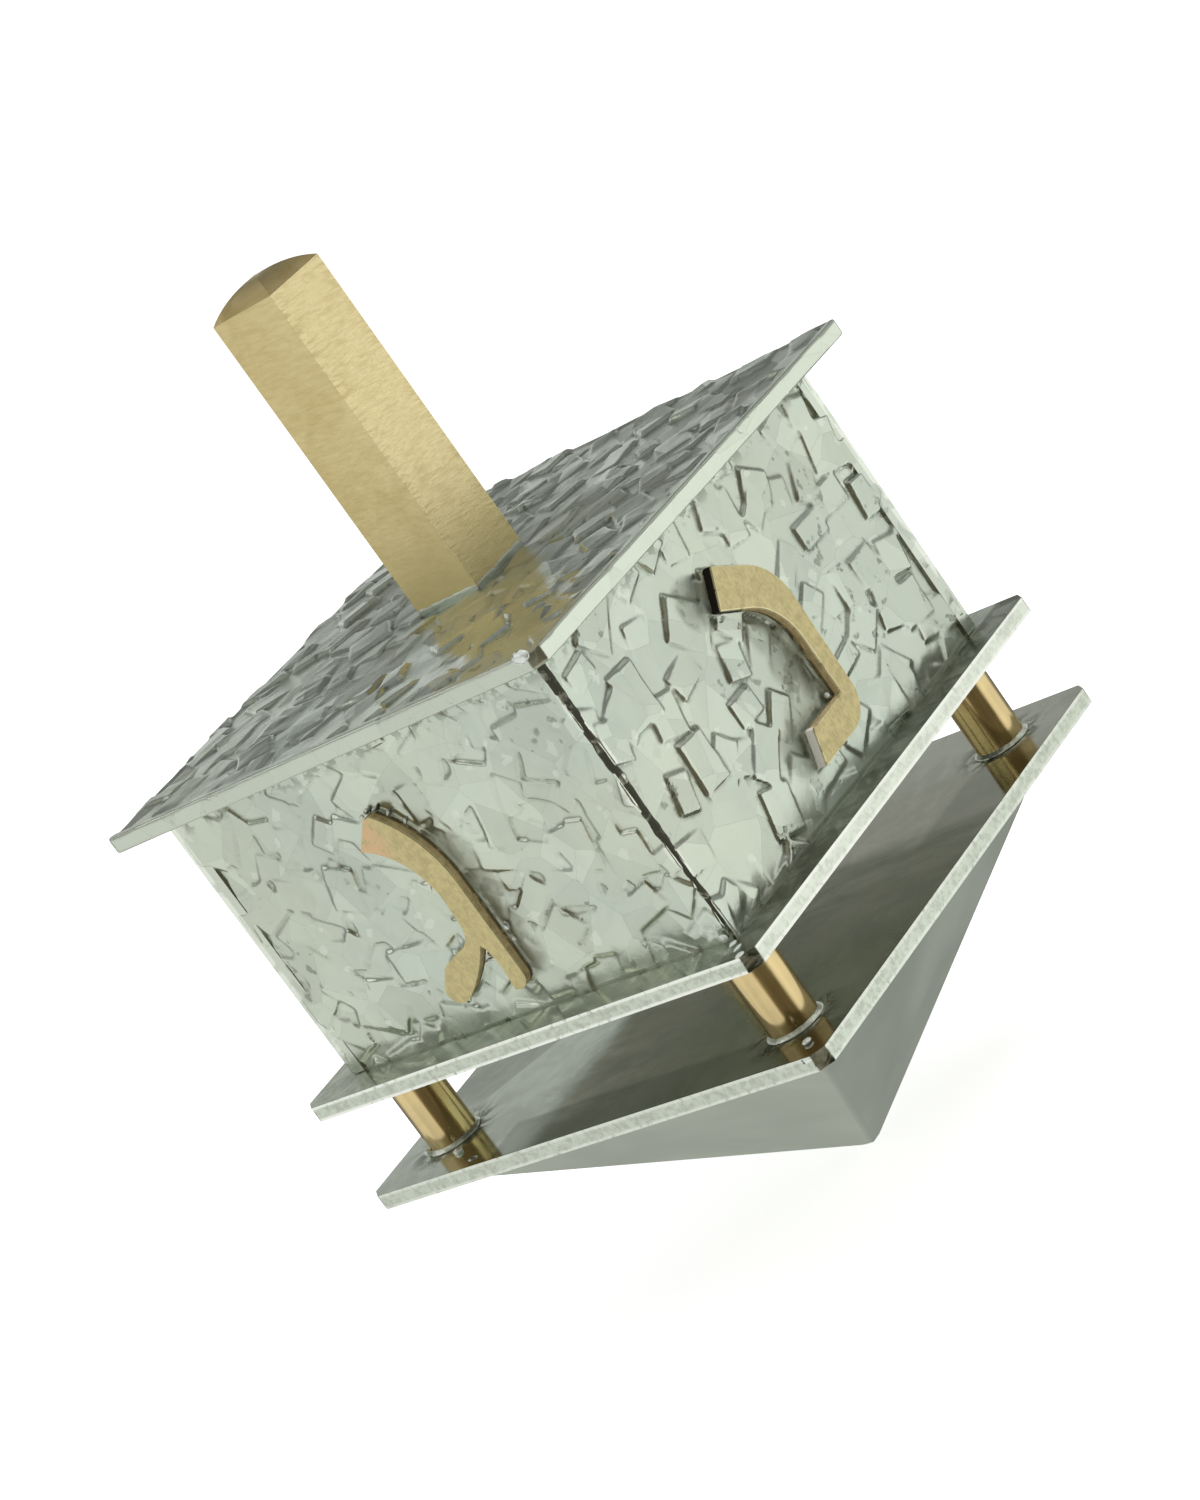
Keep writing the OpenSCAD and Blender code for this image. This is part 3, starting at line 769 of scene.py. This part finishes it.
for count, (letter, (turn, *corners)) in enumerate(walls.items()):
    # a wall's own face: x to the right as it is looked at, y up, z out of the box
    toFace = (Matrix.Rotation(math.radians(turn), 4, "Z")
              @ Matrix.Translation((0, -sizes["wallOut"], wallMiddle)) @ Matrix.Rotation(math.radians(90), 4, "X"))
    relief = reliefs[letter]
    thick = sizes["wallThick"] - relief["drop"] * mm
    slab = addBox("slab", (0, 0, 0), (2 * sizes["wallOut"] + 1 * mm, wallHigh + 1 * mm, thick + 1 * mm))
    slab.matrix_world = toFace @ Matrix.Translation((0, 0, -relief["drop"] * mm - thick / 2 - 0.5 * mm))
    placeApplied(slab)
    pads = [letterPad(node, toFace) for node in lettersOn[letter]]
    gouges = [cutters[groove["open"].index(n)] for n in corners if n in groove["open"]]
    wall = chippedPiece(letter + "WallChipped", letter + "_wall", toFace, 2 * sizes["wallHalf"], wallHigh,
                        [slab] + pads, 11 + count, relief, gouges, 0.3 * mm)
    dress(wall, chipMetal, "chipped_metal", letter + "_wall")
for cutter in cutters:
    bpy.data.objects.remove(cutter)
print("walls made")

roofFace = Matrix.Translation((0, 0, sizes["roofHead"]))
slab = addBox("slab", (0, 0, sizes["roofHead"] - reliefs["roof"]["drop"] * mm - 1 * mm),
              (2 * sizes["roofHalf"] + 1 * mm, 2 * sizes["roofHalf"] + 1 * mm, 2 * mm))
# a sloping strip along each side keeps the roof's upper edge straight
rimShape = {"wide": 1.7 * mm, "high": 1.0 * mm, "slope": math.radians(11), "lift": (0.1, -0.26, -0.26, 0.1)}
rims = []
for turn in range(4):
    strip = addBox("rim", (0, 0, 0), (2 * sizes["roofHalf"] + 1 * mm, rimShape["wide"], rimShape["high"]))
    strip.matrix_world = (Matrix.Rotation(math.radians(90 * turn), 4, "Z")
                          @ Matrix.Translation((0, -sizes["roofHalf"], sizes["roofHead"] + rimShape["lift"][turn] * mm))
                          @ Matrix.Rotation(-rimShape["slope"], 4, "X")
                          @ Matrix.Translation((0, rimShape["wide"] / 2, -rimShape["high"] / 2)))
    placeApplied(strip)
    rims.append(strip)
roof = chippedPiece("roofPlateChipped", "roof_plate", roofFace, 2 * sizes["roofHalf"], 2 * sizes["roofHalf"],
                    [slab] + rims, 31, reliefs["roof"])
dress(roof, chipMetal, "plate_metal", "roof_plate")
print("roof made")


# ---- plates, point, bar and posts ----

plateEdges = {"arris": 0.13 * mm}
for node, name in (("floor_plate", "floorPlate"), ("deck_plate", "deckPlate")):
    plate = copyOfNode(node, name)
    softenEdges(plate, plateEdges["arris"], 2)
    smoothByAngle(plate, 40)
    weightNormals(plate)
    dress(plate, plateMetal, "plate_metal", node)

pointShape = {"ridge": 0.42 * mm}
point = copyOfNode("point", "pointSoft")
softenEdges(point, pointShape["ridge"], 4, 40)
smoothByAngle(point, 30)
weightNormals(point)
dress(point, pointMetal, "point_metal", "point")

bar = copyOfNode("handle", "barHandle")         # its edges are left sharp, as filed
smoothByAngle(bar, 8)
dress(bar, barBrass, "polished_brass", "handle")

# solder round the foot of the bar, and a whitish blob on the roof's near corner that carries a painted highlight
filletShape = {"spread": 0.55 * mm, "climb": 0.34 * mm, "sink": 0.6 * mm, "lumps": 0.16 * mm,
               "play": 0.1 * mm, "voxel": 0.12 * mm, "glintBlob": (0.42 * mm, 0.72 * mm, 0.5 * mm)}
filletTexture = cloudTexture("fillet", 1.6 * mm)
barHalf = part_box("handle")[1].x
wide = 2 * (barHalf + filletShape["spread"])
fillet = addBox("barFillet", (0, 0, sizes["roofHead"] + (filletShape["climb"] - filletShape["sink"]) / 2),
                (wide, wide, filletShape["climb"] + filletShape["sink"]))
narrowed = (barHalf * 2 + filletShape["play"]) / wide
squeeze(fillet, lambda place: place.z > sizes["roofHead"], (narrowed, narrowed, 1))
melt(fillet, filletShape["voxel"])
lump(fillet, filletTexture, filletShape["lumps"], 0.55)
calm(fillet, 3, 0.3)
dress(fillet, chipMetal, "solder")
deselectAll()
bpy.ops.mesh.primitive_uv_sphere_add(segments=32, ring_count=20, radius=1, scale=filletShape["glintBlob"],
                                     location=(-sizes["roofHalf"] + 0.25 * mm, -sizes["roofHalf"] + 1.35 * mm,
                                               sizes["roofHead"] - 0.18 * mm))
glintBlob = bpy.context.object
glintBlob.name = "roofCornerGlintBlob"
placeApplied(glintBlob)
smoothByAngle(glintBlob, 60)
dress(glintBlob, solderWithPaintedGlints, "solder")

ringShape = {"top": 0.92, "voxel": 0.09 * mm, "lumps": 0.14 * mm}
ringTexture = cloudTexture("collars", 1.3 * mm)
for number in range(1, 5):
    post = copyOfNode("post_%d" % number, "postRod%d" % number)
    smoothByAngle(post, 30)
    dress(post, postBrass, "polished_brass", "post_%d" % number)

    low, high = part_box("solder_ring_%d" % number)
    middle = (low + high) / 2
    ring = copyOfNode("solder_ring_%d" % number, "solderRing%d" % number)
    squeeze(ring, lambda place: place.z > middle.z, (ringShape["top"], ringShape["top"], 1),
            center_override=tuple(middle))
    melt(ring, ringShape["voxel"])
    lump(ring, ringTexture, ringShape["lumps"])
    calm(ring, 3, 0.4)
    dress(ring, solderMetal, "solder", "solder_ring_%d" % number)
print("plates, point, bar and posts made")


# ---- letters ----

letterShape = {"arris": 0.13 * mm}
for node in letterTurn:
    letter = copyOfNode(node, node.replace("_", "") + "Brass")
    softenEdges(letter, letterShape["arris"], 2, 40)
    smoothByAngle(letter, 35)
    weightNormals(letter)
    dress(letter, letterBrass, "satin_brass", node)
print("letters made")


# ---- solder left in the corners and round the letters ----

seamShape = {"inset": 0.6 * mm, "radius": 0.36 * mm, "lumps": 0.22 * mm, "filler": 1.3 * mm, "below": 0.2 * mm,
             "short": 0.1 * mm}
lumpTexture = cloudTexture("lumps", 0.9 * mm)
for number in range(4):
    angle = math.radians(45 + 90 * number)
    if number in groove["open"]:                   # two corners are open grooves, the others are filled flush
        seam = lumpyRod("cornerSeam%d" % (number + 1), angle, seamShape["inset"], seamShape["radius"],
                        seamShape["lumps"], lumpTexture, wallHigh - seamShape["short"])
        smoothByAngle(seam, 60)
        dress(seam, seamMetal, "solder")
    else:
        out = sizes["wallOut"] - seamShape["below"] - seamShape["filler"] / 2
        seam = addBox("cornerSeam%d" % (number + 1), (math.copysign(out, math.cos(angle)),
                                                      math.copysign(out, math.sin(angle)), wallMiddle),
                      (seamShape["filler"], seamShape["filler"], wallHigh - seamShape["short"]))
        dress(seam, chipMetal, "solder")

beadShape = {"reach": 0.04 * mm, "rise": 0.02 * mm, "sink": 0.2 * mm, "lumps": 0.2 * mm, "voxel": 0.1 * mm}
beadTexture = cloudTexture("beads", 0.8 * mm, 1)
# solder drops beside the letters, made whitish to carry painted glints, in mm: x from the wall's middle, y over the
# letter's foot, how far out, half sizes across, up and outward, and the turn in degrees
drops = {
    "nun_letter": ((1.45, 3.0, 0.1, 0.2, 0.24, 0.2, 0),
                   (-1.0, 12.1, 0.08, 0.14, 0.2, 0.15, 40)),
    "gimel_letter": ((-1.6, 15.45, 0.1, 0.2, 0.28, 0.2, 60), (-0.9, 15.3, 0.1, 0.18, 0.3, 0.2, 55),
                     (0.0, 14.75, 0.08, 0.14, 0.26, 0.15, 40), (-2.3, 15.2, 0.08, 0.16, 0.2, 0.15, 80),
                     (0.9, 13.7, 0.08, 0.12, 0.24, 0.12, 40), (2.95, 3.9, 0.1, 0.22, 0.34, 0.2, 10),
                     (2.8, 2.8, 0.08, 0.14, 0.18, 0.15, 0), (-0.95, 8.6, 0.06, 0.12, 0.45, 0.12, 25),
                     (-4.6, -0.35, 0.08, 0.18, 0.28, 0.15, 60)),
}
for node, turn in letterTurn.items():
    bead = copyOfNode(node, node.replace("_", "") + "Solder")
    fatten(bead, beadShape["reach"])
    melt(bead, beadShape["voxel"])
    lump(bead, beadTexture, beadShape["lumps"], 0.62)
    # only a thin slice at the wall's face is kept
    thin = addBox("thin", (0, 0, 0), (2 * sizes["wallOut"], beadShape["rise"] + beadShape["sink"], wallHigh))
    thin.matrix_world = (Matrix.Rotation(math.radians(turn), 4, "Z")
                         @ Matrix.Translation((0, -sizes["wallOut"] - (beadShape["rise"] - beadShape["sink"]) / 2,
                                               wallMiddle)))
    placeApplied(thin)
    applyOne(bead, "slice", "BOOLEAN", operation="INTERSECT", solver="MANIFOLD", object=thin)
    bpy.data.objects.remove(thin)
    calm(bead, 1, 0.35)
    dress(bead, solderMetal, "solder")
    specks = []
    for across, over, out, halfWide, halfTall, halfThick, lean in drops.get(node, ()):
        specks.append(addBall(Matrix.Rotation(math.radians(turn), 4, "Z")
                              @ Matrix.Translation((across * mm, -sizes["wallOut"] - out * mm,
                                                    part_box("nun_letter")[0].z + over * mm))
                              @ Matrix.Rotation(math.radians(lean), 4, "Y")
                              @ Matrix.Diagonal((halfWide, halfThick, halfTall, 1))))
    if specks:
        joined = joinAll(specks, node.replace("_", "") + "Drops")
        smoothByAngle(joined, 60)
        dress(joined, solderWithPaintedGlints, "solder")
# whitish drops where the box stands on its plate and where the posts stand on theirs, as painted glints: place and half
# sizes, in mm
splashes = {
    "floorDrops": ((-20.15, -19.2, 28.0, 0.2, 0.4, 0.3), (-20.6, -20.1, 27.6, 0.4, 0.25, 0.14),
                   (-22.6, -21.95, 27.55, 0.4, 0.35, 0.12), (-21.4, -21.0, 27.57, 0.5, 0.2, 0.08)),
    "deckDrops": ((-22.98, -21.6, 18.95, 0.08, 0.55, 0.2), (-20.96, -20.77, 19.35, 0.4, 0.34, 0.18),
                  (-20.2, 15.1, 19.3, 0.38, 0.38, 0.26), (-19.3, 18.9, 19.5, 0.3, 0.3, 0.3),
                  (-21.9, 12.3, 19.2, 0.3, 0.5, 0.08)),
}
for name, spots in splashes.items():
    specks = [addBall(Matrix.Translation((atX * mm, atY * mm, atZ * mm)) @ Matrix.Diagonal((*halves, 1)))
              for atX, atY, atZ, *halves in spots]
    joined = joinAll(specks, name)
    smoothByAngle(joined, 60)
    dress(joined, solderWithPaintedGlints, "solder")
print("seams and beads made")


# ---- camera, floor and light ----

view = {
    "place": (-207.04 * mm, -201.39 * mm, 107.54 * mm),
    "down": (-0.5441, 0.2818, -0.7903),
    "ahead": (0.6970, 0.6762, -0.2387),
    "focal": 4105,                                 # in pixels of the 1200 by 1500 photograph
    "pixelsTall": 1500,
    "sensor": 36,
}
camera = bpy.data.objects.new("camera", bpy.data.cameras.new("camera"))
bpy.context.scene.collection.objects.link(camera)
ahead = Vector(view["ahead"]).normalized()
down = Vector(view["down"])
down = (down - ahead * down.dot(ahead)).normalized()
right = down.cross(ahead)
camera.matrix_world = Matrix.Translation(view["place"]) @ Matrix((right, -down, -ahead)).transposed().to_4x4()
camera.data.sensor_width = view["sensor"]
camera.data.lens = view["focal"] * view["sensor"] / view["pixelsTall"]
camera.data.clip_start = 0.01
camera.data.clip_end = 100
bpy.context.scene.camera = camera

# what polished metal sees: a bright screen to the left and to the right, a pale horizon and a dimmer room
studio = {
    "facing": (-0.718, -0.696),                    # x and y of the way to the camera
    "leftScreen": 0.87, "strips": (1.2, 0.62), "domeLight": 0.15,
    "rightScreen": 1.02, "room": 0.34, "high": 0.32, "low": 0.14, "front": 0.13, "farLow": 0.20,
    "lowLeft": 0.26, "horizon": 0.84, "farHigh": 0.19, "mottle": 0.7, "ambient": 0.40,
    "cool": (0.96, 1.0, 0.95), "warm": (0.98, 1.0, 0.935), "brown": (1.0, 0.90, 0.60),
}
world = bpy.data.worlds.new("studio")
bpy.context.scene.world = world
world.use_nodes = True
tree = world.node_tree
bench = Bench(tree)
direction = bench.add("TexCoord", {}, {}, output=0)
dirX, dirY, up = bench.parts(direction)
facingX, facingY = studio["facing"]
front = dirX * facingX + dirY * facingY
right = dirX * -facingY + dirY * facingX
left = right * -1
dim = (studio["room"] + up.ramp(0.5, 0.9) * (studio["high"] - studio["room"]) + up.ramp(-0.35, -0.7) * studio["low"]
       + front.ramp(-0.5, -0.85) * up.ramp(0.05, -0.15) * (studio["farLow"] - studio["room"])
       + front.ramp(0.35, 0.8) * up.ramp(0.8, 0.4) * up.ramp(-0.8, -0.4) * (studio["front"] - studio["room"])
       + up.ramp(-0.3, -0.6) * left * studio["lowLeft"])
farSide = front.ramp(-0.5, -0.8) * up.ramp(-0.06, 0.0)
dim = dim + farSide * (up.ramp(0.02, 0.44, studio["horizon"], studio["farHigh"]) - dim)
rightScreen = front.ramp(-0.6, -0.35) * front.ramp(0.74, 0.6) * right.ramp(0.3, 0.55) * up.ramp(0.14, 0.0)
leftScreen = front.ramp(-0.6, -0.35) * front.ramp(0.94, 0.84) * left.ramp(0.2, 0.42) * up.ramp(0.36, -0.02)
room = dim + rightScreen * (studio["rightScreen"] - dim) + leftScreen * (studio["leftScreen"] - dim)
room = room + up.ramp(0.5, 0.62) * left.ramp(0.05, 0.2) * front.ramp(-0.4, -0.55) * studio["domeLight"]
room = room * ((bench.noise(direction, 3.6, 2, 0.5) - 0.5) * studio["mottle"] + 1)
# two bright strips that only the upward edges of the chips and letters catch
strip = up.ramp(0.46, 0.52) * up.ramp(0.76, 0.68) * front.size().ramp(0.5, 0.35)
room = room + strip * left.ramp(0.45, 0.6) * (studio["strips"][0] - room)
room = room + strip * right.ramp(0.45, 0.6) * (studio["strips"][1] - room)
camRay = bench.add("LightPath", {}, {}, output=0)
mirrorRay = bench.add("LightPath", {}, {}, output=3).maths("MAXIMUM", bench.add("LightPath", {}, {}, output=6))
background = tree.nodes["Background"]
drift = bench.noise(direction, 2.1, 1, 0.5).ramp(0.4, 0.6)
colour = bench.blend(drift, rgba(studio["cool"]), rgba(studio["warm"]))
colour = bench.blend(front.ramp(0.4, 0.8) * (1 - leftScreen) * (1 - rightScreen), colour, rgba(studio["brown"]))
colour = bench.blend(mirrorRay * (1 - camRay), rgba((1, 1, 1)), colour)
strength = camRay + (1 - camRay) * (mirrorRay * room + (1 - mirrorRay) * studio["ambient"])
tree.links.new(colour.socket, background.inputs["Color"])
tree.links.new(strength.socket, background.inputs["Strength"])

floorLook = {"side": 8.0, "colour": (0.86, 0.86, 0.85), "roughness": 0.9, "lift": 0.72}
deselectAll()
bpy.ops.mesh.primitive_plane_add(size=floorLook["side"], location=(0, 0, 0))
ground = bpy.context.object
ground.name = "ground"
ground.visible_glossy = False                      # metal sees the screens and the room of the world instead
groundPaint = bpy.data.materials.new("groundPaint")
groundPaint.use_nodes = True
tree = groundPaint.node_tree
paint = tree.nodes["Principled BSDF"]
paint.inputs["Base Color"].default_value = rgba(floorLook["colour"])
paint.inputs["Roughness"].default_value = floorLook["roughness"]
paint.inputs["Specular IOR Level"].default_value = 0.0
paint.inputs["Emission Color"].default_value = (1, 1, 1, 1)
bench = Bench(tree)
lift = bench.add("LightPath", {}, {}, output=0) * floorLook["lift"]
tree.links.new(lift.socket, paint.inputs["Emission Strength"])
ground.data.materials.append(groundPaint)


lamps = {
    "keyLight": {"place": (0.26, -0.26, 0.62), "towards": (0, 0, 0), "side": 0.4, "power": 2.0},
    "topLight": {"place": (-0.1, -0.1, 0.9), "towards": (0, 0, 0.03), "side": 0.6, "power": 2.0},
}
for name, look in lamps.items():
    lamp = bpy.data.lights.new(name, "AREA")
    lamp.shape = "RECTANGLE"
    lamp.size = lamp.size_y = look["side"]
    lamp.energy = look["power"]
    softbox = bpy.data.objects.new(name, lamp)
    bpy.context.scene.collection.objects.link(softbox)
    softbox.location = look["place"]
    aim = Vector(look["towards"]) - Vector(look["place"])
    softbox.rotation_euler = aim.to_track_quat("-Z", "Y").to_euler()
    softbox.visible_glossy = False

bpy.context.scene.view_settings.view_transform = "Standard"
print("camera, floor and light set")
